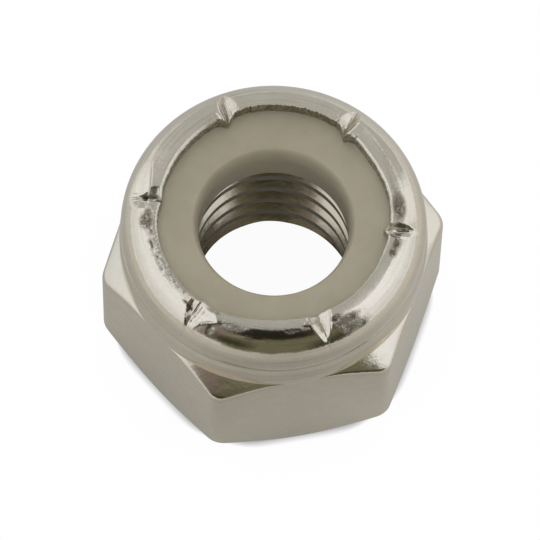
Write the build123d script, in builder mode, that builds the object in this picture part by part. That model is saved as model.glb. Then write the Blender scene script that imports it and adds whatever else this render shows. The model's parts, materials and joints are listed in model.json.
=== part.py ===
from build123d import *
import os
from math import ceil, radians, sqrt, tan

# Nylon insert lock nut, M10 x 1.5. Origin at the centre of the bearing face, +Z up the thread.
# All sizes in millimetres, all angles in degrees.

# Hexagon
across_flats = 17.0
corner_radius = 1.0
hex_height = 7.75
top_chamfer_angle = 37.0
bottom_chamfer_angle = 35.0
bearing_inset = 0.05

# Round shoulder above the hexagon and the groove above it
shoulder_overhang = 0.05
shoulder_height = 1.25
shoulder_bevel = 0.2
collar_inset = 0.07
groove_width = 0.6
groove_depth = 0.1

# Collar, rolled inwards over the insert as a quarter round
collar_straight = 0.29
roll_radius = 2.01
collar_wall = 0.75

# Thread: a right-hand V groove with a flat root, in a bore of the minor diameter. The flat is given
# as a share of the pitch.
thread_diameter = 10.0
thread_pitch = 1.5
thread_angle = 60.0
thread_root_flat = 0.125
minor_factor = 1.0825
minor_allowance = 0.284
countersink_margin = 1.2
countersink_angle = 90.0

# Tap that cuts the thread: its start below the bearing face, in pitches, and the depth to which its
# ridge is rooted in its core
tap_lead = 0.8
tap_ridge_root = 0.15

# Nylon ring
insert_seat_rise = 0.35
insert_thickness = 2.35
insert_grip = 0.16
insert_edge_radius = 0.35

# Chisel marks on the rolled lip
stake_count = 6
stake_start_angle = 42.0
stake_width = 1.1
stake_depth = 0.52
stake_tip_reach = 0.32

# Radii and heights that follow from the sizes above
corner_reach = across_flats / sqrt(3)
bearing_radius = across_flats / 2 - bearing_inset
shoulder_radius = across_flats / 2 + shoulder_overhang
collar_radius = shoulder_radius - collar_inset
lip_radius = collar_radius - roll_radius
pocket_radius = collar_radius - collar_wall
minor_radius = (thread_diameter - minor_factor * thread_pitch + minor_allowance) / 2
countersink_radius = (thread_diameter + countersink_margin) / 2
countersink_depth = (countersink_radius - minor_radius) / tan(radians(countersink_angle / 2))
insert_bore_radius = minor_radius - insert_grip
major_radius = thread_diameter / 2

bottom_rise = (corner_reach - bearing_radius) * tan(radians(bottom_chamfer_angle))
top_drop = (corner_reach - shoulder_radius) * tan(radians(top_chamfer_angle))
shoulder_top = hex_height + shoulder_height
groove_top = shoulder_top + groove_width
roll_height = groove_top + collar_straight
total_height = roll_height + roll_radius
insert_seat = hex_height + insert_seat_rise
insert_top = insert_seat + insert_thickness
lip_underside = roll_height + roll_radius - collar_wall
stake_bottom = total_height - stake_depth

# The tap has a whole number of turns and ends above the insert seat. It is turned back so that its
# ridge crosses the bearing face on +X.
tap_bottom = -tap_lead * thread_pitch
tap_length = ceil(insert_seat / thread_pitch + 1) * thread_pitch
tap_turn_back = -360 * tap_lead
ridge_root_radius = minor_radius - tap_ridge_root
ridge_crest_half = thread_root_flat * thread_pitch / 2
ridge_root_half = ridge_crest_half + (major_radius - ridge_root_radius) * tan(radians(thread_angle / 2))


def pocket_wall():
    """Outer side of the insert pocket, from its floor to the edge of the rolled lip."""
    Line((pocket_radius, insert_seat), (pocket_radius, roll_height))
    CenterArc((lip_radius, roll_height), roll_radius - collar_wall, 0, 90)


# One chisel cut: a V across the lip, run out on the quarter round
with BuildPart() as stake_cut:
    with BuildSketch(Plane.YZ.offset(lip_radius - stake_tip_reach)):
        with BuildLine():
            Polyline(
                (0, stake_bottom),
                (stake_width, stake_bottom + 2 * stake_depth),
                (-stake_width, stake_bottom + 2 * stake_depth),
                close=True,
            )
        make_face()
    extrude(amount=collar_radius)

# The point of lip metal that the chisel pushes inwards over the insert
with BuildPart() as stake_tip:
    with BuildSketch(Plane.XY.offset(lip_underside)):
        with BuildLine():
            Polyline(
                (lip_radius - stake_tip_reach, 0),
                (lip_radius + stake_tip_reach, -stake_width),
                (lip_radius + stake_tip_reach, stake_width),
                close=True,
            )
        make_face()
    extrude(amount=stake_bottom - lip_underside)

# The tap: a core of the minor diameter with one helical ridge
with BuildPart() as tap:
    with Locations((0, 0, tap_bottom)):
        Cylinder(minor_radius, tap_length, align=(Align.CENTER, Align.CENTER, Align.MIN))
    with BuildLine() as helix:
        Helix(thread_pitch, tap_length, minor_radius, center=(0, 0, tap_bottom))
    with BuildSketch(Plane.XZ):
        with BuildLine():
            Polyline(
                (major_radius, tap_bottom - ridge_crest_half),
                (major_radius, tap_bottom + ridge_crest_half),
                (ridge_root_radius, tap_bottom + ridge_root_half),
                (ridge_root_radius, tap_bottom - ridge_root_half),
                close=True,
            )
        make_face()
    sweep(path=helix.wires()[0], is_frenet=True)

with BuildPart() as nut_body:
    # Hexagon with rounded corners
    with BuildSketch() as hexagon:
        RegularPolygon(radius=across_flats / 2, side_count=6, major_radius=False)
        fillet(hexagon.vertices(), radius=corner_radius)
    extrude(amount=hex_height)

    # Turned chamfers at both ends of the hexagon
    with BuildSketch(Plane.XZ):
        with BuildLine():
            Polyline(
                (0, 0),
                (bearing_radius, 0),
                (corner_reach, bottom_rise),
                (corner_reach, hex_height - top_drop),
                (shoulder_radius, hex_height),
                (0, hex_height),
                close=True,
            )
        make_face()
    revolve(axis=Axis.Z, mode=Mode.INTERSECT)

    # Shoulder, groove and rolled collar
    with BuildSketch(Plane.XZ):
        with BuildLine():
            Polyline(
                (0, total_height),
                (0, insert_seat - insert_seat_rise),
                (shoulder_radius, hex_height),
                (shoulder_radius, shoulder_top - shoulder_bevel),
                (collar_radius, shoulder_top),
            )
            ThreePointArc(
                (collar_radius, shoulder_top),
                (collar_radius - groove_depth, (shoulder_top + groove_top) / 2),
                (collar_radius, groove_top),
            )
            Line((collar_radius, groove_top), (collar_radius, roll_height))
            CenterArc((lip_radius, roll_height), roll_radius, 0, 90)
            Line((lip_radius, total_height), (0, total_height))
        make_face()
    revolve(axis=Axis.Z)

    # Countersink
    with BuildSketch(Plane.XZ):
        with BuildLine():
            Polyline(
                (0, 0),
                (countersink_radius, 0),
                (minor_radius, countersink_depth),
                (0, countersink_depth),
                close=True,
            )
        make_face()
    revolve(axis=Axis.Z, mode=Mode.SUBTRACT)

    # Insert pocket
    with BuildSketch(Plane.XZ):
        with BuildLine():
            Polyline((0, total_height), (0, insert_seat), (pocket_radius, insert_seat))
            pocket_wall()
            Polyline((lip_radius, lip_underside), (lip_radius, total_height), (0, total_height))
        make_face()
    revolve(axis=Axis.Z, mode=Mode.SUBTRACT)

    # Chisel marks
    with PolarLocations(0, stake_count, start_angle=stake_start_angle):
        add(stake_tip.part)
    with PolarLocations(0, stake_count, start_angle=stake_start_angle):
        add(stake_cut.part, mode=Mode.SUBTRACT)

    # Bore and thread
    add(tap.part, rotation=(0, 0, tap_turn_back), mode=Mode.SUBTRACT)

# Ring that fills the pocket, dished on top, its bore a little smaller than the thread's
with BuildPart() as nylon_insert:
    with BuildSketch(Plane.XZ) as ring:
        with BuildLine():
            Polyline(
                (insert_bore_radius, insert_top),
                (insert_bore_radius, insert_seat),
                (pocket_radius, insert_seat),
            )
            pocket_wall()
            Line((lip_radius, lip_underside), (insert_bore_radius, insert_top))
        make_face()
        fillet(ring.vertices().group_by(Axis.X)[0].sort_by(Axis.Y)[-1], radius=insert_edge_radius)
    revolve(axis=Axis.Z)

os.makedirs("parts", exist_ok=True)

nut_body.part.label = "nut_body"
export_step(nut_body.part, "parts/nut_body.step")

nylon_insert.part.label = "nylon_insert"
export_step(nylon_insert.part, "parts/nylon_insert.step")
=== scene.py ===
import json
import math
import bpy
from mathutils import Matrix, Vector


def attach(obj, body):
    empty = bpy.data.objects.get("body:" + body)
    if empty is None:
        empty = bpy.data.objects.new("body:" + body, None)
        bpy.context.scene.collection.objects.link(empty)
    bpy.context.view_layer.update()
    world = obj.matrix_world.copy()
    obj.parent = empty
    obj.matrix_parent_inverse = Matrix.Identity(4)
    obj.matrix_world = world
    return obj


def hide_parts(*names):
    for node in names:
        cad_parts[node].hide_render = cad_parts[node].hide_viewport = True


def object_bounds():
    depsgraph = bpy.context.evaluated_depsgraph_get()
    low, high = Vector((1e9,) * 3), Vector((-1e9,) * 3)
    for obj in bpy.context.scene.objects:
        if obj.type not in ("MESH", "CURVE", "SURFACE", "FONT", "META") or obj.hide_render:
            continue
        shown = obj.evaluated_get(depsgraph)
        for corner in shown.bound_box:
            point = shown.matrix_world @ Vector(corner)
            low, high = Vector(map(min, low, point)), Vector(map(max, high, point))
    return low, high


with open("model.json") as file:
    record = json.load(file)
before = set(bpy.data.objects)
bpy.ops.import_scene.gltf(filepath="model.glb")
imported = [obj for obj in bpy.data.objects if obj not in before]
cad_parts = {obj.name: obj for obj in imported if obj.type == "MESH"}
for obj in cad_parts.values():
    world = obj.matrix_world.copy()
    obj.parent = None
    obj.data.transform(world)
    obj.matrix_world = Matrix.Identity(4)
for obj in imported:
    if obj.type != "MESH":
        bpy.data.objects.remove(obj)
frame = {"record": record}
cad_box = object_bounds()

# Looks of a nylon insert lock nut, M10 x 1.5. Lengths are in millimetres and become metres where a
# mesh, a lamp or the camera is made. Angles are in degrees where a value is named, and in radians
# inside the mesh functions. The origin is the centre of the bearing face, +Z up the thread.
from types import SimpleNamespace

import bmesh
import bpy
import numpy as np
from mathutils import Matrix, Vector

MM = 0.001
FULL_TURN = 2.0 * math.pi

# ---- sizes, as in the frame
mounts = {mount["name"]: mount for mount in frame["record"]["mounts"]}
TOTAL_HEIGHT = cad_box[1].z / MM
MINOR_RADIUS = mounts["thread"]["dims"]["r_mm"]
NYLON_BORE_RADIUS = mounts["nylon_bore"]["dims"]["r_mm"]

ACROSS_FLATS = 17.0
CORNER_RADIUS = 1.0
HEX_HEIGHT = 7.75
TOP_CHAMFER_ANGLE = 37.0
BOTTOM_CHAMFER_ANGLE = 35.0
BEARING_RADIUS = 8.45

SHOULDER_RADIUS = 8.55
SHOULDER_TOP = 9.0
SHOULDER_BEVEL = 0.2
GROOVE_TOP = 9.6
GROOVE_DEPTH = 0.1
COLLAR_RADIUS = 8.48
COLLAR_WALL = 0.75
ROLL_RADIUS = 2.01
ROLL_HEIGHT = TOTAL_HEIGHT - ROLL_RADIUS
LIP_RADIUS = COLLAR_RADIUS - ROLL_RADIUS
LIP_UNDERSIDE = TOTAL_HEIGHT - COLLAR_WALL
POCKET_RADIUS = COLLAR_RADIUS - COLLAR_WALL

THREAD_PITCH = 1.5
THREAD_MAJOR_RADIUS = 5.0
THREAD_ROOT_HALF = THREAD_PITCH / 16
THREAD_FLANK_SLOPE = math.tan(math.radians(30.0))
COUNTERSINK_RADIUS = 5.6

INSERT_SEAT = 8.1
INSERT_TOP = 10.45

# ---- sizes of the looks
# rounding of the edge between a flat and the turned chamfer above it, the largest share of that
# chamfer that it takes, and rounding of the edge at the flat's foot
CROWN_ROUND = 0.28
CROWN_REACH = 0.7
FOOT_ROUND = 0.12
# middle row of the foot's round and of the shoulder's bevel: how far inwards, and up or down
FOOT_MIDDLE = (FOOT_ROUND / 6, FOOT_ROUND / 4)
BEVEL_MIDDLE = (0.1 * SHOULDER_BEVEL, 0.5 * SHOULDER_BEVEL)

# the round at the insert's mouth, and how much lower than an arc it starts in the bore
INSERT_EDGE_RADIUS = 0.5
INSERT_EDGE_LEAD = 0.55

# columns of the mesh: their steps in degrees, and how far closer ones reach to each side
HEXAGON_STEP = 1.0
CORNER_STEP = 0.5
CORNER_SPAN = (-4.0, 4.0)
LIP_STEP = 0.5
STAKE_STEP = 0.2
STAKE_SPAN = (-6.4, 6.8)
# offsets between which the even columns are left out
STAKE_GAP = (-6.5, 6.8)
ROUND_COLUMNS = 240

# a row stands this close to an edge, to keep its shading crisp
CRISP = 0.03
# rows of the bearing face and the seat as radii, of the shoulder as heights over its foot, and of the
# hexagon's foot, side and top chamfer and of the nylon's bore as shares of their height. Whole numbers
# are counts of rows
BEARING_ROWS = (COUNTERSINK_RADIUS + 0.1, 6.4, 7.4, 8.38, BEARING_RADIUS - CRISP)
SEAT_ROWS = (6.0, 5.2)
SHOULDER_ROWS = (0.0, 0.07, 0.55)
FOOT_ROWS = (0.06, 0.5, 0.9)
SIDE_ROWS = (0.0, 0.03, 0.2, 0.4, 0.6, 0.8, 0.97)
CHAMFER_ROWS = (0.5, 1.0)
CROWN_ROWS = 6
GROOVE_ROWS = 10
ROLL_ROWS = 28
LAND_ROWS = 11
POCKET_ARC_ROWS = 4
NYLON_BORE_ROWS = (0.02, 0.25, 0.5, 0.75, 1.0)
NYLON_EDGE_ROWS = 14
NYLON_TOP_ROWS = 11
NYLON_ARC_ROWS = 8
# rows of the thread: share of the way up a flank, and distance from the middle of the crest
FLANK_ROW = 0.55
CREST_ROW = 0.1
# start of the nut's wall under the lip: radius, distance below the underside, angle on the pocket's arc
UNDER_LIP = (6.85, 0.06, 72.0)

# distance at which points are welded, length at which an edge is dropped, angle over which it is sharp
WELD = 0.0004
LEAST_EDGE = 0.0002
SHARP_ANGLE = 45.0

# how round the groove's hollow is, and how much closer rows stand towards the crease and the rim
GROOVE_POWER = 1.3
ROLL_CROWDING = 1.45
LAND_CROWDING = 1.6

# closed curves round the lip are (angle, radius) keys, smoothed by these offsets in degrees
CURVE_OFFSETS = np.linspace(-2.0, 2.0, 9)
# the lip's inner edge
LIP_EDGE = (
    (5, 6.36), (15, 6.3), (25, 6.28), (35, 6.38), (48, 6.52), (60, 6.57), (75, 6.56), (90, 6.57),
    (97, 6.5), (108, 6.38), (120, 6.34), (135, 6.3), (150, 6.28), (162, 6.32), (172, 6.42),
    (180, 6.5), (190, 6.57), (200, 6.6), (212, 6.68), (225, 6.7), (235, 6.65), (245, 6.55),
    (255, 6.46), (265, 6.46), (275, 6.54), (290, 6.53), (300, 6.53), (312, 6.48), (325, 6.42),
    (335, 6.42), (350, 6.4), (358, 6.4),
)
# the crease where the lip's worn land meets the roll
LAND_EDGE = (
    (0, 7.1), (20, 7.15), (35, 7.35), (50, 7.5), (70, 7.55), (90, 7.55), (110, 7.6), (130, 7.55),
    (142, 7.5), (149, 7.15), (156, 6.92), (165, 7.0), (175, 7.02), (190, 7.18), (200, 7.2),
    (210, 7.18), (218, 7.2), (226, 7.1), (234, 7.3), (240, 7.05), (250, 6.95), (262, 6.95),
    (270, 7.05), (280, 7.0), (286, 6.88), (291, 7.0), (298, 7.24), (310, 7.2), (325, 7.05),
    (335, 7.1), (345, 7.15), (355, 7.15),
)
# the round of the lip's inner edge, which is crisp and torn where its radius is small
LIP_ROUND = (
    (0, 0.17), (36, 0.15), (47, 0.04), (97, 0.04), (106, 0.13), (118, 0.2), (150, 0.2),
    (170, 0.14), (190, 0.1), (235, 0.07), (300, 0.08), (330, 0.12),
)
# the round as steps (inwards, down), both as shares of it, and the torn cut face below it as shares
# of its height, with how much of the cut's finish each of them has
ROUND_STEPS = ((0.1, 0.02), (0.76, 0.43), (0.94, 0.66), (1.0, 1.0))
FACE_STEPS = (0.2, 0.4, 0.6, 0.8, 1.0)
CUT_SHARES = (0.0, 0.5, 1.0, 1.0) + (1.0,) * len(FACE_STEPS)

# rounds at which the inner edge starts to be torn, and is torn in full
TORN_ROUNDS = (0.1, 0.04)
# how far the land's inner edge lies below the top, the least height of the cut face, and how deep its
# foot stands in the nylon
LAND_DROP = 0.02
FACE_LEAST = 0.12
FACE_FOOT = 0.05

# radii at which an angle round the lip is taken as a length, for the noise and for the pushed lip
NOISE_ARC_RADIUS = 7.0
PUSH_ARC_RADIUS = 6.4
# noise along the lip: its size, the length of its cells, and its seed
LAND_NOISE = (0.012, 0.5, 3)
EDGE_NOISE = (0.01, 0.35, 4)
TORN_NOISE = (0.045, 0.055, 5)
FACE_NOISE = (0.02, 0.12, 9)
GALLED_NOISE = (0.03, 0.22, 21)
# width of the cells across the cut face, in shares of its height, and across the galled metal
FACE_CELL = 0.5
GALLED_CELL = 0.16

# The six stake marks, each a V struck across the lip and roll. u is the distance along the lip from
# the mark's angle, counterclockwise from above. Four rows give a value at each of the STATIONS, which
# are radii: line is u of the V's floor, depth its depth, plus and minus the widths of its flanks on
# the +u and -u sides.
# push is how far the lip is pushed inwards, at which u, and over which half width.
# drag is the length and depth of a slope that falls towards the V on the -u side, outside the land.
# dull is how dull the flanks are on the +u and -u sides.
# fibre is how far the flanks are ridged, as a share of their width.
# strokes are ridges and slits in the V: u and radius of both ends, half width, height at both ends.
STATIONS = (6.1, 6.5, 6.9, 7.3, 7.7, 8.0)
STAKES = (
    dict(
        at=42, push=(0.38, -0.24, 0.6), dull=(0, 0.8), fibre=0.045,
        line=(-0.2, -0.1, -0.02, 0.04, 0.14, 0.22), depth=(0.45, 0.42, 0.38, 0.27, 0.13, 0),
        plus=(0.15, 0.46, 0.56, 0.42, 0.18, 0.03), minus=(0.12, 0.26, 0.36, 0.38, 0.34, 0.12),
        strokes=(
            (-0.12, 6.8, -0.3, 6.05, 0.05, 0.1, 0.14), (-0.06, 6.6, -0.15, 6.1, 0.04, -0.1, -0.14),
            (0.2, 7.8, 0, 6.7, 0.035, 0.03, 0.06), (-0.46, 6.46, -0.82, 6.56, 0.05, 0.03, 0.07),
            (0.66, 6.52, 0.72, 6.4, 0.05, 0.08, 0.08), (0.56, 6.76, 0.52, 6.46, 0.05, -0.1, -0.14),
            (-0.1, 7.9, -0.22, 6.9, 0.03, 0.03, 0.03), (-0.24, 7.8, -0.32, 6.9, 0.03, 0.02, 0.03),
        ),
    ),
    dict(
        at=102, push=(0.38, 0.18, 0.6), dull=(0.8, 0), fibre=0.045,
        line=(0.2, 0.09, 0, -0.11, -0.24, -0.32), depth=(0.46, 0.42, 0.39, 0.3, 0.15, 0),
        plus=(0.12, 0.26, 0.34, 0.36, 0.32, 0.1), minus=(0.45, 0.6, 0.63, 0.46, 0.22, 0.04),
        strokes=(
            (0.14, 7.1, 0.22, 6, 0.05, 0.08, 0.14), (-0.24, 7.8, 0.06, 6.3, 0.035, 0.04, 0.08),
            (0.09, 6.95, 0.13, 6.2, 0.03, -0.08, -0.1), (0.02, 7.8, 0.22, 6.9, 0.03, 0.02, 0.04),
            (0.16, 7.9, 0.34, 6.8, 0.03, 0.03, 0.03), (0.56, 6.86, 0.44, 6.44, 0.06, 0.04, 0.08),
        ),
    ),
    dict(
        at=160.5, push=(0.12, 0.2, 0.9), drag=(2.2, 0.3), dull=(0.2, 0.5), fibre=0.045,
        line=(0, -0.02, -0.02, -0.03, -0.04, -0.04), depth=(0, 0.14, 0.27, 0.14, 0, 0),
        plus=(0.2, 0.3, 0.4, 0.3, 0.2, 0.05), minus=(0.24, 0.54, 0.47, 0.14, 0.05, 0.03),
        strokes=(
            (0.26, 6.6, 0.3, 6.26, 0.07, 0.08, 0.08), (-0.22, 7.95, -0.12, 7.4, 0.04, 0.02, 0.02),
            (0.05, 8, 0.03, 7.4, 0.04, 0.02, 0.03), (0.22, 7.95, 0.15, 7.35, 0.04, 0.02, 0.03),
        ),
    ),
    dict(
        at=224, push=(0.14, 0, 0.6), dull=(0, 0), fibre=0.02,
        line=(-0.6, -0.6, -0.58, -0.5, -0.29, -0.19), depth=(0.06, 0.09, 0.17, 0.39, 0.29, 0.1),
        plus=(1.3, 1.35, 1.4, 1.66, 0.68, 0.36), minus=(0.1, 0.12, 0.14, 0.24, 0.24, 0.16),
        strokes=(
            (-0.1, 7.9, 0.02, 6.9, 0.03, 0.03, 0.03), (0.14, 7.8, 0.26, 7, 0.03, 0.02, 0.02),
            (-0.24, 7.4, -0.14, 6.7, 0.05, -0.04, -0.05), (1.08, 7.73, 1.1, 7.77, 0.13, -0.07, -0.07),
            (1.08, 7.74, 1.1, 7.76, 0.05, 0.06, 0.06),
        ),
    ),
    dict(
        at=281.5, push=(0.1, 0.1, 0.6), dull=(0, 0), fibre=0.02,
        line=(-0.11, -0.11, -0.11, -0.11, -0.11, -0.13), depth=(0.4, 0.4, 0.39, 0.33, 0.19, 0.06),
        plus=(0.7, 0.66, 0.56, 0.41, 0.24, 0.1), minus=(0.62, 0.6, 0.6, 0.52, 0.36, 0.2),
        strokes=((-0.11, 7.8, -0.11, 6.5, 0.02, -0.02, -0.04),),
    ),
    dict(
        at=342, push=(0.32, -0.2, 0.4), dull=(0.3, 0), fibre=0.03,
        line=(-0.14, -0.1, -0.02, 0.03, 0.05, 0.06), depth=(0.34, 0.33, 0.33, 0.22, 0.08, 0),
        plus=(0.12, 0.22, 0.27, 0.2, 0.12, 0.05), minus=(0.3, 0.44, 0.54, 0.52, 0.42, 0.1),
        strokes=((-0.04, 7.5, -0.18, 6.5, 0.07, 0.14, 0.1), (-0.24, 6.6, -0.28, 6.1, 0.13, 0.12, 0.06)),
    ),
)
# how many degrees a mark reaches to each side
STAKE_REACH = 24.0
# how far outwards from the edge a push is felt, and how pointed the pushed lip is
PUSH_FADE = 0.9
PUSH_POWER = 1.25
# length of a drag's slope on the +u side, how soon it is whole outside the land, and the radii
# between which it fades in from the collar
DRAG_FRONT = 0.8
DRAG_EDGE = 0.12
DRAG_RADII = (8.2, 7.5)
# fibres of the flanks: width, length and seed, to which each mark adds its number, then the strength
# of each kind, the shift of their pattern, and the share of the flank that has them
FIBRES = ((0.075, 0.8, 40), (0.17, 0.6, 50))
FIBRE_STRENGTH = 0.35
FIBRE_SHIFT = 4.0
FIBRE_SHARE = 0.95
# share of a flank up to which its slope goes on, past its edge
FLANK_LIMIT = 1.4
# depth at which the metal counts as struck, the least depth of a V, and the rounding of its edges
STRUCK_DEPTH = 0.12
LEAST_DEPTH = 0.002
STAKE_ROUND = 0.02
# how far a stroke spreads, in half widths, and how pointed it is
STROKE_SPREAD = 1.6
STROKE_POWER = 1.2
# the burr beside a flank: its height, its place and half width as shares of the flank, and the depth
# of the V at which it is whole
BURR_HEIGHT = 0.04
BURR_PLACE = 1.06
BURR_WIDTH = 0.1
BURR_DEPTH = 0.3

# Marks on the land and the roll, each an oval: angle, radius, half length along the lip, half width
# and strength. pocket is painted shade, near black, in the hollows of the pinched folds, stain is brown and
# dull, galled is torn and rough
PATCHES = {
    "pocket": (
        (160.6, 6.78, 0.21, 0.36, 1), (160.2, 7.12, 0.09, 0.24, 1), (158.2, 6.72, 0.3, 0.16, 1),
        (221.6, 7.74, 0.11, 0.32, 0.9), (343.2, 7.04, 0.1, 0.3, 0.8), (286.2, 7.2, 0.2, 0.1, 0.9),
    ),
    "stain": (
        (230, 6.83, 0.46, 0.12, 0.6), (287.2, 7.12, 0.3, 0.16, 1), (291.5, 7.85, 0.6, 0.18, 0.8),
        (173, 7.05, 0.54, 0.38, 1), (169.6, 6.94, 0.3, 0.22, 0.9), (179, 6.85, 0.16, 0.1, 0.8),
        (352.5, 6.9, 0.86, 0.37, 1), (333.8, 6.95, 0.42, 0.22, 1), (329, 6.93, 0.28, 0.21, 1),
        (218, 7.22, 0.34, 0.08, 1), (198, 7.05, 0.12, 0.07, 0.9), (192, 6.97, 0.1, 0.06, 0.9),
        (185, 7, 0.3, 0.08, 1), (267, 7.2, 0.4, 0.1, 0.6), (240, 7.22, 0.7, 0.14, 0.5),
        (291.5, 7.46, 0.72, 0.22, 0.9), (232.5, 7.78, 0.26, 0.16, 0.7),
    ),
    "galled": (
        (193, 6.86, 3, 0.34, 1), (172, 6.85, 0.9, 0.4, 0.9), (355, 6.8, 1.3, 0.34, 0.8),
        (331, 6.95, 0.7, 0.2, 0.6), (291, 7.66, 0.76, 0.4, 0.55), (249, 7.56, 0.6, 0.05, 0.45),
        (275, 6.9, 0.4, 0.16, 0.8), (110, 6.75, 0.6, 0.2, 0.4), (15, 7.1, 1.4, 0.12, 0.4),
    ),
}
# shares of an oval at which its soft edge ends and starts, and the share of a patch's strength on the
# rounded edge and the cut face
PATCH_EDGE = (1.35, 0.55)
PATCH_ON_FACE = 0.6
# how far a stain lies below the land, and distances from the crease between which the land starts
STAIN_DEPTH = 0.03
LAND_START = (0.02, -0.04)


# ---- small tools
def smoothstep(low, high, value):
    """0 at low, 1 at high, and smooth between them."""
    share = np.clip((value - low) / (high - low), 0.0, 1.0)
    return share * share * (3.0 - 2.0 * share)


def smooth_minimum(first, second, soft):
    """The lower of two heights, with the crease between them rounded."""
    blend = np.clip(0.5 + (first - second) / (2 * soft), 0.0, 1.0)
    return first * (1 - blend) + second * blend - soft * blend * (1 - blend)


def turn_from(angle, degrees):
    """Turn from a heading in degrees to angles in radians, from -pi to pi."""
    return (angle - math.radians(degrees) + math.pi) % FULL_TURN - math.pi


def around(angle, keys):
    """Smooth closed curve along (degrees, value) keys, at angles in radians."""
    at, value = np.array(keys, float).T
    total = np.zeros_like(angle)
    for offset in CURVE_OFFSETS:
        total += np.interp(np.degrees(angle) + offset, at, value, period=360.0)
    return total / len(CURVE_OFFSETS)


def value_noise(u, v, cell_u, cell_v, seed):
    """Smooth field of about -1 to 1 at (u, v), from random values on a grid of cells that repeats."""
    cells = 64
    table = np.random.default_rng(seed).uniform(-1.0, 1.0, (cells, cells))
    x, y = u / cell_u, v / cell_v
    column, row = np.floor(x).astype(int), np.floor(y).astype(int)
    share_x, share_y = smoothstep(0.0, 1.0, x - column), smoothstep(0.0, 1.0, y - row)
    column, row = column % cells, row % cells
    next_column, next_row = (column + 1) % cells, (row + 1) % cells
    low = table[row, column] * (1 - share_x) + table[row, next_column] * share_x
    high = table[next_row, column] * (1 - share_x) + table[next_row, next_column] * share_x
    return low * (1 - share_y) + high * share_y


def lip_noise(angle, size, cell, seed, across=0.0, cell_across=1.0):
    """Smooth field of about -size to size along the lip, at angles in radians, and across it."""
    return size * value_noise(angle * NOISE_ARC_RADIUS, angle * 0.0 + across, cell, cell_across, seed)


def segment_distance(u, r, start_u, start_r, end_u, end_r):
    """Distance of (u, r) from a segment, and the share of the way along it."""
    along_u, along_r = end_u - start_u, end_r - start_r
    share = ((u - start_u) * along_u + (r - start_r) * along_r) / (along_u ** 2 + along_r ** 2)
    share = np.clip(share, 0.0, 1.0)
    return np.hypot(u - start_u - share * along_u, r - start_r - share * along_r), share


def pocket_arc(start, end, count):
    """Points (r, z) of the round under the lip, without the first. Degrees count from +r towards +z."""
    radius = ROLL_RADIUS - COLLAR_WALL
    turn = np.radians(np.linspace(start, end, count + 1)[1:])
    return [(LIP_RADIUS + radius * math.cos(t), ROLL_HEIGHT + radius * math.sin(t)) for t in turn]


def ring_columns(step, places, close_step, span, gap):
    """Angles of a ring's columns: even, and closer together round each of the places."""
    even = np.arange(0.0, 360.0, step)
    close = [np.arange(*span, close_step) + place for place in places]
    far = np.ones(len(even), bool)
    for place in places:
        offset = (even - place + 180.0) % 360.0 - 180.0
        far &= (offset < gap[0]) | (offset > gap[1])
    return np.radians(np.sort(np.concatenate([even[far]] + close) % 360.0))


def even_rows(angle, profile):
    """Rows (r, z) that are the same all round."""
    same = np.ones_like(angle)
    return [(same * r, same * z) for r, z in profile]


def grid_points(radius, height, angle):
    """Points (x, y, z) of rows of radius and height."""
    return np.stack([radius * np.cos(angle), radius * np.sin(angle), height], axis=-1)


def grid_faces(rows, columns, first=0, closed=True):
    """Quads of a grid whose last column may meet the first. Row r starts at first + r * columns."""
    across = columns if closed else columns - 1
    row, column = np.meshgrid(np.arange(rows - 1), np.arange(across), indexing="ij")
    here, above = row * columns, (row + 1) * columns
    after = (column + 1) % columns
    corners = [here + column, here + after, above + after, above + column]
    return np.stack(corners, axis=-1).reshape(-1, 4) + first


def zipper_faces(lower_angles, upper_angles, lower_first, upper_first):
    """Triangles between two rings of different counts, matched by angle."""
    faces = []
    i = j = 0
    low, up = len(lower_angles), len(upper_angles)
    lower = np.append(lower_angles, lower_angles[0] + FULL_TURN)
    upper = np.append(upper_angles, upper_angles[0] + FULL_TURN)
    while i < low or j < up:
        if j == up or (i < low and lower[i + 1] <= upper[j + 1]):
            faces.append((lower_first + i, lower_first + (i + 1) % low, upper_first + j % up))
            i += 1
        else:
            faces.append((lower_first + i % low, upper_first + (j + 1) % up, upper_first + j))
            j += 1
    return faces


def new_object(name, data):
    item = bpy.data.objects.new(name, data)
    bpy.context.scene.collection.objects.link(item)
    return item


def make_piece(name, points, faces, masks=None):
    """A closed mesh in metres, smooth but for its sharp edges, with its masks as attributes."""
    mesh = bpy.data.meshes.new(name)
    mesh.from_pydata((np.asarray(points) * MM).tolist(), [], faces, shade_flat=False)
    mesh.validate()
    for mask, values in (masks or {}).items():
        mesh.attributes.new(mask, "FLOAT", "POINT").data.foreach_set("value", values)
    weld(mesh)
    mesh.set_sharp_from_angle(angle=math.radians(SHARP_ANGLE))
    return new_object(name, mesh)


def weld(mesh):
    """Joins points that coincide, drops faces with no area and turns every face outwards."""
    work = bmesh.new()
    work.from_mesh(mesh)
    bmesh.ops.remove_doubles(work, verts=work.verts, dist=WELD * MM)
    bmesh.ops.dissolve_degenerate(work, dist=LEAST_EDGE * MM, edges=work.edges)
    bmesh.ops.recalc_face_normals(work, faces=work.faces)
    work.to_mesh(mesh)
    work.free()


# ---- nut body: hexagon
def hexagon_radius(angle):
    """Distance from the axis to the side of the hexagon, whose rounded corners stand at 0, 60..."""
    flat = ACROSS_FLATS / 2
    from_corner = (angle + math.pi / 6) % (math.pi / 3) - math.pi / 6
    centre = (flat - CORNER_RADIUS) / math.cos(math.pi / 6)
    tangent = math.atan2(CORNER_RADIUS / 2, centre + CORNER_RADIUS * math.cos(math.pi / 6))
    straight = flat / np.cos(math.pi / 6 - np.abs(from_corner))
    inside = np.maximum(CORNER_RADIUS ** 2 - (centre * np.sin(from_corner)) ** 2, 0.0)
    rounded = centre * np.cos(from_corner) + np.sqrt(inside)
    return np.where(np.abs(from_corner) < tangent, rounded, straight)


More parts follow.
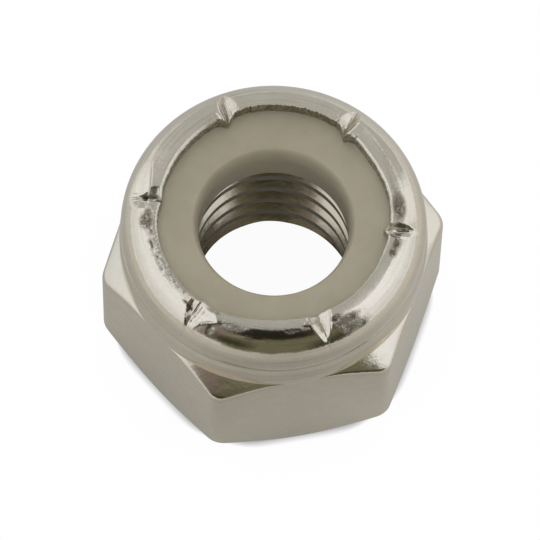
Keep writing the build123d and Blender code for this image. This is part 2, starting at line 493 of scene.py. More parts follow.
def hexagon_rows(angle):
    """Rows (r, z) of the outside below the shoulder, from the bearing face's inner edge upwards."""
    side = hexagon_radius(angle)
    foot = (side - BEARING_RADIUS) * math.tan(math.radians(BOTTOM_CHAMFER_ANGLE))
    drop = np.maximum(side - SHOULDER_RADIUS, 0.0) * math.tan(math.radians(TOP_CHAMFER_ANGLE))
    crown = HEX_HEIGHT - drop
    rows = even_rows(angle, [(r, 0.0) for r in BEARING_ROWS])
    for share in FOOT_ROWS:
        rows.append((BEARING_RADIUS + (side - BEARING_RADIUS) * share, foot * share))
    rows.append((side - FOOT_MIDDLE[0], foot + FOOT_MIDDLE[1]))
    for share in SIDE_ROWS:
        rows.append((side, foot + FOOT_ROUND + (crown - CROWN_ROUND - foot - FOOT_ROUND) * share))
    # the crown's edge is rounded over, from the side to a point on the chamfer
    length = np.hypot(side - SHOULDER_RADIUS, drop)
    reach = np.minimum(CROWN_ROUND / np.maximum(length, 1e-6), CROWN_REACH)
    over_r, over_z = side + (SHOULDER_RADIUS - side) * reach, crown + drop * reach
    for share in np.linspace(0.0, 1.0, CROWN_ROWS):
        keep, turn, end = (1 - share) ** 2, 2 * share * (1 - share), share ** 2
        rows.append((side * (keep + turn) + over_r * end,
                     (crown - CROWN_ROUND) * keep + crown * turn + over_z * end))
    for share in CHAMFER_ROWS:
        rows.append((over_r + (SHOULDER_RADIUS - over_r) * share, over_z + (HEX_HEIGHT - over_z) * share))
    return rows


# ---- nut body: collar and lip
def collar_rows(angle):
    """Rows (r, z) from the foot of the shoulder, over the groove, to the start of the roll."""
    profile = [(SHOULDER_RADIUS, HEX_HEIGHT + rise) for rise in SHOULDER_ROWS]
    profile += [(SHOULDER_RADIUS, SHOULDER_TOP - SHOULDER_BEVEL)]
    profile += [(SHOULDER_RADIUS - BEVEL_MIDDLE[0], SHOULDER_TOP - BEVEL_MIDDLE[1])]
    for share in np.linspace(0.0, 1.0, GROOVE_ROWS):
        hollow = GROOVE_DEPTH * math.sin(math.pi * share) ** GROOVE_POWER
        profile.append((COLLAR_RADIUS - hollow, SHOULDER_TOP + (GROOVE_TOP - SHOULDER_TOP) * share))
    profile += [(COLLAR_RADIUS, (GROOVE_TOP + ROLL_HEIGHT) / 2), (COLLAR_RADIUS, ROLL_HEIGHT)]
    return even_rows(angle, profile)


def roll_rows(land, rim_radius):
    """Rows (r, z) of the roll from the collar to the crease, and of the nearly flat land to the rim."""
    rows = []
    crease = np.arccos(np.clip((land - LIP_RADIUS) / ROLL_RADIUS, 0.0, 1.0))
    for share in np.linspace(0.0, 1.0, ROLL_ROWS + 1)[1:]:
        turn = crease * (1.0 - (1.0 - share) ** ROLL_CROWDING)
        rows.append((LIP_RADIUS + ROLL_RADIUS * np.cos(turn), ROLL_HEIGHT + ROLL_RADIUS * np.sin(turn)))
    outer_z = ROLL_HEIGHT + np.sqrt(np.maximum(ROLL_RADIUS ** 2 - (land - LIP_RADIUS) ** 2, 0.0))
    inner_z = TOTAL_HEIGHT - LAND_DROP
    for share in np.linspace(0.0, 1.0, LAND_ROWS + 1)[1:]:
        rise = 1.0 - (1.0 - share) ** LAND_CROWDING
        rows.append((land + (rim_radius - land) * share, outer_z + (inner_z - outer_z) * rise))
    return rows


def push_inwards(radius, turn, stake):
    """Radius of the rows after a blow has pushed the lip over the insert."""
    amount, middle, half_width = stake["push"]
    shape = np.clip(1.0 - np.abs(turn * PUSH_ARC_RADIUS - middle) / half_width, 0.0, 1.0) ** PUSH_POWER
    fade = 1.0 - smoothstep(0.0, PUSH_FADE, radius - radius[-1])
    return radius - amount * shape * fade


def drag_down(height, radius, u, land, stake):
    """Height of the rows after a blow has dragged the roll down on one side of its mark."""
    length, drop = stake["drag"]
    slope = np.clip(np.where(u < 0, 1.0 + u / length, 1.0 - u / DRAG_FRONT), 0.0, 1.0)
    outside_land = smoothstep(0.0, DRAG_EDGE, radius - land)
    above_collar = smoothstep(*DRAG_RADII, radius)
    return height - drop * slope * outside_land * above_collar


def add_strokes(height, radius, u, strokes):
    """Height of the rows with a mark's ridges and slits."""
    for *ends, half_width, start_rise, end_rise in strokes:
        distance, along = segment_distance(u, radius, *ends)
        rise = start_rise + (end_rise - start_rise) * along
        shape = np.clip(1.0 - distance / (STROKE_SPREAD * half_width), 0.0, 1.0) ** STROKE_POWER
        height = height + rise * shape
    return height


def strike(radius, height, angle, land):
    """Radius and height of the rows after the blows, and two masks: struck metal, and dull flanks."""
    struck, dull = np.zeros_like(radius), np.zeros_like(radius)
    for number, stake in enumerate(STAKES):
        turn = turn_from(angle, stake["at"])
        near = np.abs(turn) < math.radians(STAKE_REACH)
        radius = np.where(near, push_inwards(radius, turn, stake), radius)
        u = turn * radius
        if "drag" in stake:
            height = drag_down(height, radius, u, land, stake)
        line, depth, plus, minus = (
            np.interp(radius, STATIONS, stake[row]) for row in ("line", "depth", "plus", "minus"))
        off = u - line
        reach = np.where(off > 0, off / plus, -off / minus)
        fibre = sum(FIBRE_STRENGTH * value_noise(off + FIBRE_SHIFT, radius, width, length, seed + number)
                    for width, length, seed in FIBRES)
        share = np.clip(reach + stake["fibre"] * fibre * (reach < FIBRE_SHARE), 0.0, FLANK_LIMIT)
        lower = smooth_minimum(height - depth * (1.0 - share), height, STAKE_ROUND)
        lower = np.where(depth > LEAST_DEPTH, lower, height)
        lower = add_strokes(lower, radius, u, stake["strokes"])
        depth_share = np.where(near, np.clip((height - lower) / STRUCK_DEPTH, 0.0, 1.0), 0.0)
        struck = np.maximum(struck, depth_share)
        dull = np.maximum(dull, depth_share * np.where(off > 0, *stake["dull"]))
        burr = BURR_HEIGHT * np.exp(-((reach - BURR_PLACE) / BURR_WIDTH) ** 2)
        burr = burr * np.clip(depth / BURR_DEPTH, 0.0, 1.0)
        height = np.where(near, lower + burr, height)
    return radius, height, struck, dull


def cut_face_rows(top_r, top_z, rim, angle):
    """Rows (r, z) of the lip's rounded inner edge and of the torn face below it, down into the nylon."""
    rows = [(top_r - rim * inwards, top_z - rim * down) for inwards, down in ROUND_STEPS]
    edge_r, edge_z = rows[-1]
    share = (edge_r - NYLON_BORE_RADIUS) / (LIP_RADIUS - NYLON_BORE_RADIUS)
    nylon_z = INSERT_TOP + (LIP_UNDERSIDE - INSERT_TOP) * np.minimum(share, 1.0)
    foot = np.minimum(nylon_z, edge_z - FACE_LEAST) - FACE_FOOT
    for share in FACE_STEPS:
        torn = lip_noise(angle, *FACE_NOISE, share, FACE_CELL)
        rows.append((edge_r + torn, edge_z + (foot - edge_z) * share))
    return rows


def oval_mask(ovals, radius, angle):
    """Mask of a group of patches, whose edges are soft."""
    total = np.zeros_like(radius)
    for at, r, half_length, half_width, strength in ovals:
        distance = np.hypot(turn_from(angle, at) * r / half_length, (radius - r) / half_width)
        total = np.maximum(total, strength * smoothstep(*PATCH_EDGE, distance))
    return total


def lip_rows(angle):
    """Radius, height and masks of the rows from the shoulder over the roll to the foot of the cut face."""
    land = around(angle, LAND_EDGE) + lip_noise(angle, *LAND_NOISE)
    rim = around(angle, LIP_ROUND)
    torn = np.interp(rim, TORN_ROUNDS[::-1], (1.0, 0.0))
    edge = around(angle, LIP_EDGE) + lip_noise(angle, *EDGE_NOISE)
    edge += torn * lip_noise(angle, *TORN_NOISE)

    collar, roll = collar_rows(angle), roll_rows(land, edge + rim)
    radius, height, struck, dull = strike(*np.stack(roll, axis=1), angle, land)
    face = cut_face_rows(radius[-1], height[-1], rim, angle)
    (collar_r, collar_z), (face_r, face_z) = np.stack(collar, axis=1), np.stack(face, axis=1)
    radius = np.concatenate([collar_r, radius, face_r])
    height = np.concatenate([collar_z, height, face_z])

    ends = ((len(collar), len(face)), (0, 0))
    masks = {"struck": np.pad(struck, ends), "dull": np.pad(dull, ends), "cut": np.zeros_like(radius)}
    masks["cut"][-len(face):] = np.array(CUT_SHARES)[:, None]
    for name, ovals in PATCHES.items():
        masks[name] = oval_mask(ovals, radius, angle) * (height >= ROLL_HEIGHT)
        masks[name][-len(face):] *= PATCH_ON_FACE
    uncut = 1.0 - masks["cut"]
    relief = masks["galled"] * lip_noise(angle, *GALLED_NOISE, radius, GALLED_CELL)
    height = height + (relief - STAIN_DEPTH * masks["stain"]) * uncut
    masks["land"] = smoothstep(*LAND_START, radius - land) * (height > ROLL_HEIGHT) * uncut
    return radius, height, masks


# ---- nut body: inside
def pocket_rows(angle):
    """Rows (r, z) under the lip and down the pocket to the top of the thread."""
    start_radius, below_lip, start_angle = UNDER_LIP
    profile = [(start_radius, LIP_UNDERSIDE - below_lip)] + pocket_arc(start_angle, 0.0, POCKET_ARC_ROWS)
    profile += [(r, INSERT_SEAT) for r in (POCKET_RADIUS, *SEAT_ROWS)]
    return even_rows(angle, profile)


def thread_radius(height, angle):
    """Radius of the threaded hole's wall, for a right-hand thread, with its countersink."""
    turns = (height / THREAD_PITCH - angle / FULL_TURN) % 1.0
    from_root = (0.5 - np.abs(turns - 0.5)) * THREAD_PITCH
    flank = np.maximum(from_root - THREAD_ROOT_HALF, 0.0) / THREAD_FLANK_SLOPE
    wall = np.maximum(THREAD_MAJOR_RADIUS - flank, MINOR_RADIUS)
    return np.maximum(wall, COUNTERSINK_RADIUS - height)


def thread_grid():
    """Points of the threaded wall. Its rows climb with the helix and stop at both ends of the hole, and
    its last column meets the first one turn further up."""
    angle = np.linspace(0.0, FULL_TURN, ROUND_COLUMNS + 1)
    crest_edge = (THREAD_MAJOR_RADIUS - MINOR_RADIUS) * THREAD_FLANK_SLOPE + THREAD_ROOT_HALF
    half = np.array([THREAD_ROOT_HALF, crest_edge * FLANK_ROW, crest_edge + CRISP])
    crest = THREAD_PITCH / 2 + np.array([-CREST_ROW, CREST_ROW])
    offsets = np.concatenate([-half[::-1], half, crest])
    turns = np.arange(-2, math.ceil(INSERT_SEAT / THREAD_PITCH) + 1)
    start = (turns[:, None] * THREAD_PITCH + offsets[None, :]).reshape(-1, 1)
    height = np.clip(start + THREAD_PITCH * angle / FULL_TURN, 0.0, INSERT_SEAT)
    return grid_points(thread_radius(height, angle), height, angle), angle[:-1]


def build_nut_body():
    """One closed shell: bands of rows, each with its own columns, and the threaded wall, sewn together."""
    corners, marks = range(0, 360, 60), [stake["at"] for stake in STAKES]
    hexagon_angle = ring_columns(HEXAGON_STEP, corners, CORNER_STEP, CORNER_SPAN, CORNER_SPAN)
    lip_angle = ring_columns(LIP_STEP, marks, STAKE_STEP, STAKE_SPAN, STAKE_GAP)
    thread, thread_angle = thread_grid()
    hexagon = np.stack(hexagon_rows(hexagon_angle), axis=1)
    pocket = np.stack(pocket_rows(thread_angle), axis=1)
    *lip, masks = lip_rows(lip_angle)
    points, faces = [], []
    first, last_row = 0, None
    for angle, (radius, height) in ((hexagon_angle, hexagon), (lip_angle, lip), (thread_angle, pocket)):
        points.append(grid_points(radius, height, angle).reshape(-1, 3))
        faces += grid_faces(len(radius), len(angle), first).tolist()
        if last_row:
            faces += zipper_faces(last_row[0], angle, last_row[1], first)
        last_row = (angle, first + (len(radius) - 1) * len(angle))
        first += radius.size
    rows, columns = thread.shape[:2]
    faces += grid_faces(rows, columns, first, closed=False).tolist()
    faces += zipper_faces(hexagon_angle, thread_angle, 0, first)
    faces += zipper_faces(thread_angle, thread_angle, last_row[1], first + (rows - 1) * columns)
    points = np.concatenate(points + [thread.reshape(-1, 3)])
    before = hexagon[0].size
    after = len(points) - before - lip[0].size
    masks = {name: np.pad(values.reshape(-1), (before, after)) for name, values in masks.items()}
    return make_piece("nut_shell", points, faces, masks)


# ---- nylon insert
def build_nylon_insert():
    """A closed ring, dished on top. Its mouth is rounded from a point lower than an arc would start."""
    angle = np.linspace(0.0, FULL_TURN, ROUND_COLUMNS, endpoint=False)
    bore, edge = NYLON_BORE_RADIUS, INSERT_EDGE_RADIUS
    slope = math.atan2(LIP_UNDERSIDE - INSERT_TOP, LIP_RADIUS - bore)
    centre_r = bore + edge
    centre_z = INSERT_TOP + edge * (math.tan(slope) - 1.0 / math.cos(slope))
    foot = centre_z - INSERT_EDGE_LEAD
    profile = [(r, INSERT_SEAT) for r in (POCKET_RADIUS, SEAT_ROWS[0], bore)]
    profile += [(bore, INSERT_SEAT + (foot - INSERT_SEAT) * share) for share in NYLON_BORE_ROWS]
    # the round meets the dished top at its slope
    top_turn = 90.0 + math.degrees(slope)
    round_height = edge * math.cos(slope) + INSERT_EDGE_LEAD
    for turn in np.radians(np.linspace(180.0, top_turn, NYLON_EDGE_ROWS + 1)[1:]):
        rise = math.sin(turn) / math.cos(slope)
        profile.append((centre_r + edge * math.cos(turn), foot + round_height * rise))
    start_r, start_z = profile[-1]
    profile += [(start_r + (LIP_RADIUS - start_r) * share, start_z + (LIP_UNDERSIDE - start_z) * share)
                for share in np.linspace(0.0, 1.0, NYLON_TOP_ROWS + 1)[1:]]
    profile += pocket_arc(0.0, 90.0, NYLON_ARC_ROWS)[-2::-1] + [(POCKET_RADIUS, ROLL_HEIGHT)]
    radius, height = np.stack(even_rows(angle, profile), axis=1)
    faces = grid_faces(len(profile) + 1, ROUND_COLUMNS) % radius.size
    return make_piece("nylon_ring", grid_points(radius, height, angle).reshape(-1, 3), faces.tolist())


# ---- node helpers
class Nodes:
    """Short ways to add nodes to one material or world."""

    def __init__(self, tree):
        self.tree = tree

    def fill(self, socket, value):
        if isinstance(value, bpy.types.NodeSocket):
            self.tree.links.new(value, socket)
        else:
            socket.default_value = value

    def add(self, kind, inputs=(), **settings):
        node = self.tree.nodes.new("ShaderNode" + kind)
        for key, value in settings.items():
            setattr(node, key, value)
        for key, value in dict(inputs).items():
            self.fill(node.inputs[key], value)
        return node

    def math(self, operation, first, second=0.0, third=0.0, clamp=False):
        inputs = {0: first, 1: second, 2: third}
        return self.add("Math", inputs, operation=operation, use_clamp=clamp).outputs[0]

    def times(self, first, second, clamp=False):
        return self.math("MULTIPLY", first, second, clamp=clamp)

    def total(self, start, *terms):
        """start, plus the product of each pair of terms."""
        for first, second in terms:
            start = self.math("MULTIPLY_ADD", first, second, start)
        return start

    def vector(self, operation, first, second=(0.0, 0.0, 0.0)):
        outputs = self.add("VectorMath", {0: first, 1: second}, operation=operation).outputs
        return outputs["Value" if operation == "LENGTH" else "Vector"]

    def parts(self, vector):
        return self.add("SeparateXYZ", {0: vector}).outputs

    def ramp(self, value, low, high, start=0.0, end=1.0, kind="SMOOTHSTEP"):
        inputs = {"Value": value, "From Min": low, "From Max": high, "To Min": start, "To Max": end}
        return self.add("MapRange", inputs, interpolation_type=kind).outputs["Result"]

    def line(self, value, low, high, start=0.0, end=1.0):
        return self.ramp(value, low, high, start, end, kind="LINEAR")

    def mix(self, share, first, second):
        node = self.add("Mix", {0: share}, data_type="RGBA")
        for socket, value in ((node.inputs[6], first), (node.inputs[7], second)):
            self.fill(socket, value if isinstance(value, bpy.types.NodeSocket) else (*value, 1.0))
        return node.outputs[2]

    def mix_number(self, share, first, second):
        return self.add("Mix", {0: share, 2: first, 3: second}, data_type="FLOAT").outputs[0]

    def place_in_mm(self):
        """The point on the object, in millimetres."""
        return self.vector("MULTIPLY", self.add("TexCoord").outputs["Object"], (1.0 / MM,) * 3)

    def mask(self, name):
        return self.add("Attribute", attribute_type="GEOMETRY", attribute_name=name).outputs["Fac"]

    def shade(self, reach):
        """Share of the light that gets past whatever stands within a reach in millimetres."""
        return self.add("AmbientOcclusion", {"Distance": reach * MM}, samples=SHADE_SAMPLES).outputs["AO"]

    def noise(self, vector, scale, detail, roughness, **fourth):
        inputs = {"Vector": vector, "Scale": scale, "Detail": detail, "Roughness": roughness, **fourth}
        return self.add("TexNoise", inputs, noise_dimensions="4D" if fourth else "3D").outputs["Fac"]


def new_material(name):
    material = bpy.data.materials.new(name)
    material.use_nodes = True
    material.node_tree.nodes.clear()
    return material, Nodes(material.node_tree)


# ---- steel
STEEL_TONES = ((0.735, 0.705, 0.61), (0.755, 0.69, 0.6))
MOTTLE_TONE = (0.775, 0.73, 0.64)
STREAK_TONE = (0.64, 0.565, 0.465)
GRAIN_TONE = (0.65, 0.61, 0.53)
STAIN_TONE = (0.13, 0.092, 0.05)
GALLED_TONE = (0.42, 0.39, 0.335)
CUT_TONE = (0.36, 0.34, 0.25)
DULL_TONE = (0.55, 0.485, 0.39)
# painted shade: the tone that darkens the threaded hole, as shade inside it
BORE_SHADE_TONE = (0.52, 0.47, 0.36)
# painted shade, near black, for the hollows of the pinched folds (the pocket patches)
FOLD_SHADE_TONE = (0.04, 0.037, 0.022)
FLAT_ROUGHNESS = 0.25
TURNED_ROUGHNESS = 0.1
# patterns of the steel: name, scale, detail and roughness
STEEL_NOISES = (
    ("grain", 7.0, 4.0, 0.65), ("mottle", 1.3, 4.0, 0.6), ("tint", 0.55, 3.0, 0.6), ("pits", 4.2, 5.0, 0.7),
)


def steel_fields(nodes):
    """The patterns and masks that the steel's colour, roughness and relief share."""
    place = nodes.place_in_mm()
    level = nodes.vector("MULTIPLY", place, (1.0, 1.0, 0.0))
    radius = nodes.vector("LENGTH", level)
    height = nodes.parts(place)[2]
    masks = ("struck", "dull", "cut", "land", "pocket", "stain", "galled")
    fields = {name: nodes.mask(name) for name in masks}

    # lathe marks: noise that changes slowly round the axis, and fast with the radius and the height
    turn = nodes.parts(nodes.vector("NORMALIZE", level))
    streak_place = nodes.add("CombineXYZ", {0: turn[0], 1: turn[1], 2: radius}).outputs[0]
    streak_place = nodes.vector("MULTIPLY", streak_place, (1.6, 1.6, 5.0))
    fields["streak"] = nodes.noise(streak_place, 1.0, 4.0, 0.6, W=nodes.times(height, 5.0))
    for name, *settings in STEEL_NOISES:
        fields[name] = nodes.noise(place, *settings)

    # above is the turned part over the hexagon. turned also takes in the chamfer, the cone that
    # falls from the shoulder's foot
    fields["above"] = nodes.ramp(height, HEX_HEIGHT - 0.05, HEX_HEIGHT + 0.1)
    chamfer_slope = math.tan(math.radians(TOP_CHAMFER_ANGLE))
    past_shoulder = nodes.math("SUBTRACT", radius, SHOULDER_RADIUS)
    over_cone = nodes.total(height, (past_shoulder, chamfer_slope))
    on_chamfer = nodes.ramp(over_cone, HEX_HEIGHT - 0.14, HEX_HEIGHT - 0.06)
    fields["turned"] = nodes.math("MAXIMUM", fields["above"], on_chamfer)
    # in_bore marks the threaded hole; the colour uses it to paint shade inside the hole
    fields["in_bore"] = nodes.ramp(radius, COUNTERSINK_RADIUS + 0.1, COUNTERSINK_RADIUS - 0.1)

    # inside their areas, the stain and the galled metal break up into spots
    fields["stained"] = nodes.times(fields["stain"], nodes.ramp(fields["pits"], 0.33, 0.5), clamp=True)
    fields["torn"] = nodes.times(fields["galled"], nodes.ramp(fields["grain"], 0.42, 0.56), clamp=True)
    return SimpleNamespace(**fields)


def steel_colour(nodes, field):
    """Two close tones, with each finish, kind of wear and painted shade laid over those before it."""
    colour = nodes.mix(nodes.ramp(field.tint, 0.38, 0.62), *STEEL_TONES)
    layers = (
        (nodes.ramp(field.mottle, 0.35, 0.7), MOTTLE_TONE),
        (nodes.times(nodes.ramp(field.streak, 0.5, 0.68), nodes.times(field.above, 0.75)), STREAK_TONE),
        (nodes.times(nodes.ramp(field.grain, 0.38, 0.62), nodes.times(field.above, 0.35)), GRAIN_TONE),
        (nodes.times(field.stained, 0.92), STAIN_TONE),
        (nodes.times(field.torn, 0.8), GALLED_TONE),
        (nodes.times(field.cut, nodes.ramp(field.pits, 0.4, 0.56, 0.25, 1.0)), CUT_TONE),
        (nodes.times(field.dull, nodes.ramp(field.grain, 0.3, 0.6, 0.5, 0.9)), DULL_TONE),
        # painted shade: the threaded hole is made darker
        (nodes.times(field.in_bore, 0.8), BORE_SHADE_TONE),
        # painted shade: the pocket patches go near black in the hollows of the pinched folds
        (nodes.times(field.pocket, nodes.ramp(field.grain, 0.25, 0.65, 0.98, 0.75)), FOLD_SHADE_TONE),
    )
    for share, tone in layers:
        colour = nodes.mix(share, colour, tone)
    return colour


def steel_roughness(nodes, field):
    """Satin on the flats, smoother on turned metal, and changed by each kind of wear."""
    rough = nodes.line(field.turned, 0.0, 1.0, FLAT_ROUGHNESS, TURNED_ROUGHNESS)
    rough = nodes.math("ADD", rough, nodes.line(field.streak, 0.35, 0.7, -0.02, 0.05))
    return nodes.total(
        rough, (field.land, 0.1), (field.torn, 0.07), (field.stained, 0.3), (field.cut, 0.32),
        (field.pocket, 0.2), (field.dull, 0.15), (field.in_bore, -0.08))


def steel_relief(nodes, field):
    """Height of the bump in millimetres."""
    relief = nodes.times(field.grain, nodes.line(field.turned, 0.0, 1.0, 0.004, 0.001))
    relief = nodes.total(relief, (field.mottle, 0.016))
    for pattern, area, amount in (
        (field.streak, field.above, 0.003), (field.grain, field.land, 0.006),
        (field.pits, field.galled, 0.045), (field.pits, field.stain, 0.03),
        (field.grain, field.cut, 0.06), (field.grain, field.struck, 0.004),
    ):
        relief = nodes.total(relief, (pattern, nodes.times(area, amount)))
    return relief


def steel_material():
    """Bright plated steel: satin flats, a turned shoulder, a burnished roll and a galled, torn lip."""
    material, nodes = new_material("steel")
    field = steel_fields(nodes)
    bump = nodes.add("Bump", {"Height": steel_relief(nodes, field), "Distance": MM})
    shader = nodes.add("BsdfPrincipled", {
        "Base Color": steel_colour(nodes, field), "Metallic": 1.0,
        "Roughness": steel_roughness(nodes, field), "Normal": bump.outputs[0],
    })
    nodes.add("OutputMaterial", {"Surface": shader.outputs[0]})
    return material


# ---- nylon
NYLON_TONES = ((0.318, 0.286, 0.214), (0.338, 0.304, 0.23))


def nylon_material():
    """Moulded nylon: warm grey, faintly cloudy, with a soft sheen."""
    material, nodes = new_material("nylon")
    place = nodes.place_in_mm()
    cloud = nodes.noise(place, 0.6, 3.0, 0.6)
    grain = nodes.noise(place, 9.0, 3.0, 0.6)
    relief = nodes.total(nodes.times(cloud, 0.012), (grain, 0.003))
    bump = nodes.add("Bump", {"Height": relief, "Distance": MM})
    shader = nodes.add("BsdfPrincipled", {
        "Base Color": nodes.mix(nodes.ramp(cloud, 0.35, 0.65), *NYLON_TONES),
        "Roughness": nodes.line(grain, 0.3, 0.7, 0.44, 0.54), "Normal": bump.outputs[0],
        "Specular IOR Level": 0.4, "Subsurface Weight": 0.6,
        "Subsurface Radius": (1.0, 0.92, 0.75), "Subsurface Scale": MM,
    })
    nodes.add("OutputMaterial", {"Surface": shader.outputs[0]})
    return material


# ---- stage
FLOOR_HALF_SIZE = 2500.0
FLOOR_TONE = (0.8, 0.8, 0.8, 1.0)
# reach of the nut's broad painted shade on the floor, and of the thin painted contact shadow where it
# touches the floor
SHADE_REACH = 30.0
CONTACT_REACH = 0.45
SHADE_SAMPLES = 16
# distances from the axis between which the near floor passes into the far floor
FAR_FLOOR = (16.0, 50.0)

STUDIO_TONE = (0.51, 0.515, 0.5)
# Panels of the studio: name, azimuths from the front (+ to the right) and softness of both ends,
# elevations between which it fades in and out again, and tone. Later panels lie over earlier ones.
STUDIO_PANELS = (
    ("horizon", None, 0, (-90, -60), (2, 8), (0.8, 0.8, 0.78)),
    ("overhead", None, 0, (71, 81), (100, 110), (0.44, 0.45, 0.44)),
    ("left_softbox", (-154, -58), 9, (-38, 48), (60, 76), (1.0, 1.02, 1.05)),
    ("right_softbox", (46, 98), 6, (-32, 46), (59, 72), (1.06, 1.08, 1.13)),
    ("back_softbox", (101, 121), 7, (-25, 15), (40, 54), (0.96, 0.97, 0.99)),
    ("back_strip", (114, 144), 8, (29, 35), (38, 44), (0.96, 0.97, 0.99)),
    ("mauve", (-57, -34), 14, (4, 12), (60, 70), (0.24, 0.195, 0.175)),
    ("brown", (14, 50), 10, (36, 56), (64, 72), (0.175, 0.135, 0.115)),
    ("green", (-40, 44), 6, (-3, 3), (58, 62), (0.16, 0.157, 0.1)),
    ("dark_left", (-47, -24), 14, (6, 18), (24, 42), (0.045, 0.048, 0.028)),
    ("dark_right", (10, 42), 12, (-3, 3), (12, 34), (0.055, 0.058, 0.04)),
    ("tan", (-40, -18), 10, (36, 44), (48, 55), (0.27, 0.245, 0.19)),
    ("dark_brown", (2, 34), 14, (40, 54), (62, 66), (0.09, 0.065, 0.045)),
    ("black", (-41, 20), 14, (42, 54), (76, 82), (0.0195, 0.018, 0.0125)),
)

# soft lamps: name, place and watts
LAMP_SIZE = 300.0
LAMPS = (("overhead_lamp", (20, 230, 330), 0.64), ("front_lamp", (-20, -280, 280), 0.72))


def mirrored_floor(nodes, place, heading, back, shade):
    """Brightness of the floor in the metal: a grey, darker in the nut's shade and in front of it, a
    little lighter to the right and behind, and lighter again far away."""
    left = nodes.math("MAXIMUM", nodes.times(heading[0], -1.0), 0.0)
    right = nodes.math("MAXIMUM", heading[0], 0.0)
    front = nodes.times(nodes.ramp(heading[1], -0.5, -0.95), nodes.ramp(shade, 0.68, 0.8))
    near = nodes.line(shade, 0.5, 0.74, 0.37, 0.45)
    near = nodes.total(near, (right, 0.08), (back, 0.06), (front, -0.09))
    near = nodes.times(near, nodes.line(shade, 0.1, 0.5, 0.12, 1.0))
    far = nodes.total(0.46, (back, 0.06), (right, 0.22), (left, 0.16))
    away = nodes.times(nodes.vector("LENGTH", place), 1.0 / MM)
    return nodes.mix_number(nodes.ramp(away, *FAR_FLOOR), near, far)


def floor_material():
    """A matt floor. The camera sees it white with the nut's shade, and the metal mirrors it grey."""
    material, nodes = new_material("floor")
    rays = nodes.add("LightPath").outputs
    shade, contact = nodes.shade(SHADE_REACH), nodes.shade(CONTACT_REACH)
    direct = nodes.times(nodes.ramp(shade, 0.0, 0.9, 0.96, 1.0), nodes.line(contact, 0.35, 0.95, 0.42, 1.0))
    place = nodes.add("TexCoord").outputs["Object"]
    heading = nodes.parts(nodes.vector("NORMALIZE", place))
    back = nodes.ramp(heading[1], 0.1, 0.9)
    grey = mirrored_floor(nodes, place, heading, back, shade)
    mirrored = nodes.math("MAXIMUM", rays["Is Glossy Ray"], rays["Is Transmission Ray"])
    glowing = nodes.math("MAXIMUM", rays["Is Camera Ray"], mirrored)
    warm = nodes.mix(back, (1.0, 0.975, 0.91), (1.0, 1.0, 0.98))
    glow = nodes.add("Emission", {
        "Color": nodes.mix(rays["Is Camera Ray"], warm, (1.0, 1.0, 1.0)),
        "Strength": nodes.mix_number(rays["Is Camera Ray"], grey, direct),
    })
    matt = nodes.add("BsdfDiffuse", {"Color": FLOOR_TONE})
    surface = nodes.add("MixShader", {0: glowing, 1: matt.outputs[0], 2: glow.outputs[0]})
    nodes.add("OutputMaterial", {"Surface": surface.outputs[0]})
    material.cycles.emission_sampling = "NONE"
    return material


def add_floor():
    reach = FLOOR_HALF_SIZE * MM
    corners = [(x * reach, y * reach, 0.0) for x, y in ((-1, -1), (1, -1), (1, 1), (-1, 1))]
    mesh = bpy.data.meshes.new("floor")
    mesh.from_pydata(corners, [], [(0, 1, 2, 3)])
    mesh.materials.append(floor_material())
    new_object("floor", mesh)


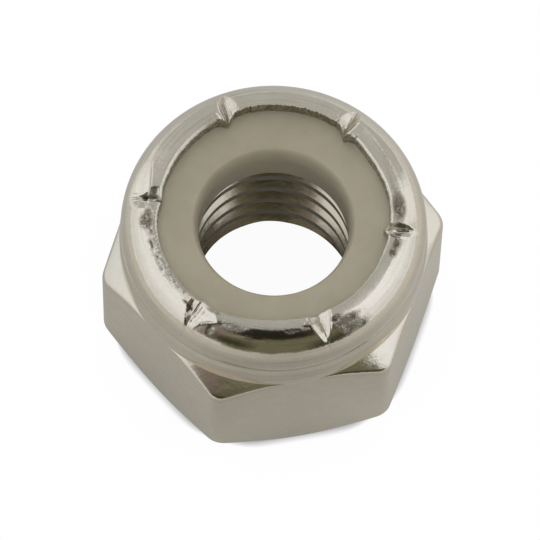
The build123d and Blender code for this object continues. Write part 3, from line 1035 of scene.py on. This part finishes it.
def add_studio():
    """The world: a grey tent with softboxes at the sides and dark panels in front, for every ray."""
    world = bpy.data.worlds.new("studio")
    bpy.context.scene.world = world
    world.use_nodes = True
    world.node_tree.nodes.clear()
    nodes = Nodes(world.node_tree)
    part = nodes.parts(nodes.add("TexCoord").outputs["Generated"])
    degrees = 180.0 / math.pi
    elevation = nodes.times(nodes.math("ARCSINE", part[2]), degrees)
    azimuth = nodes.times(nodes.math("ARCTAN2", part[0], nodes.times(part[1], -1.0)), degrees)
    colour = STUDIO_TONE
    for name, across, soft, rise, fall, tone in STUDIO_PANELS:
        share = nodes.times(nodes.ramp(elevation, *rise), nodes.ramp(elevation, *fall, 1.0, 0.0))
        if across is not None:
            start = nodes.ramp(azimuth, across[0] - soft / 2, across[0] + soft / 2)
            end = nodes.ramp(azimuth, across[1] - soft / 2, across[1] + soft / 2, 1.0, 0.0)
            share = nodes.times(share, nodes.times(start, end))
        colour = nodes.mix(share, colour, tone)
        colour.node.label = name
    background = nodes.add("Background", {"Color": colour})
    nodes.add("OutputWorld", {"Surface": background.outputs[0]})


def add_lamp(name, place, watts):
    """A broad lamp that faces the origin, for the matt surfaces. The metal mirrors the studio instead."""
    data = bpy.data.lights.new(name, "AREA")
    data.size = LAMP_SIZE * MM
    data.energy = watts
    lamp = new_object(name, data)
    place = Vector(place)
    lamp.matrix_world = Matrix.Translation(place * MM) @ place.to_track_quat("Z", "Y").to_matrix().to_4x4()
    lamp.visible_glossy = False
    lamp.visible_camera = False


# ---- camera
CAMERA_AZIMUTH = -12.35
CAMERA_ELEVATION = 65.7
CAMERA_ROLL = 1.53
CAMERA_DISTANCE = 340.0
CAMERA_TARGET = Vector((-0.224, -0.355, 5.0))
CAMERA_CLIP = (10.0, 10000.0)
PIXELS_PER_MM = 17.855
FRAME_PIXELS = 540
SENSOR_WIDTH = 36.0


def add_camera():
    azimuth, elevation = math.radians(CAMERA_AZIMUTH), math.radians(CAMERA_ELEVATION)
    level = math.cos(elevation)
    back = Vector((math.sin(azimuth) * level, -math.cos(azimuth) * level, math.sin(elevation)))
    data = bpy.data.cameras.new("camera")
    data.sensor_width = SENSOR_WIDTH
    data.lens = PIXELS_PER_MM * CAMERA_DISTANCE * SENSOR_WIDTH / FRAME_PIXELS
    data.clip_start, data.clip_end = (distance * MM for distance in CAMERA_CLIP)
    camera = new_object("camera", data)
    turn = (-back).to_track_quat("-Z", "Y").to_matrix() @ Matrix.Rotation(math.radians(CAMERA_ROLL), 3, "Z")
    camera.matrix_world = Matrix.Translation((CAMERA_TARGET + back * CAMERA_DISTANCE) * MM) @ turn.to_4x4()
    bpy.context.scene.camera = camera


# ---- the scene
body = build_nut_body()
body.data.materials.append(steel_material())
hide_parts("nut_body")
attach(body, "root")

ring = build_nylon_insert()
ring.data.materials.append(nylon_material())
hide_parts("nylon_insert")
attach(ring, "root")

add_floor()
add_studio()
for lamp in LAMPS:
    add_lamp(*lamp)
add_camera()
bpy.context.scene.view_settings.view_transform = "Standard"
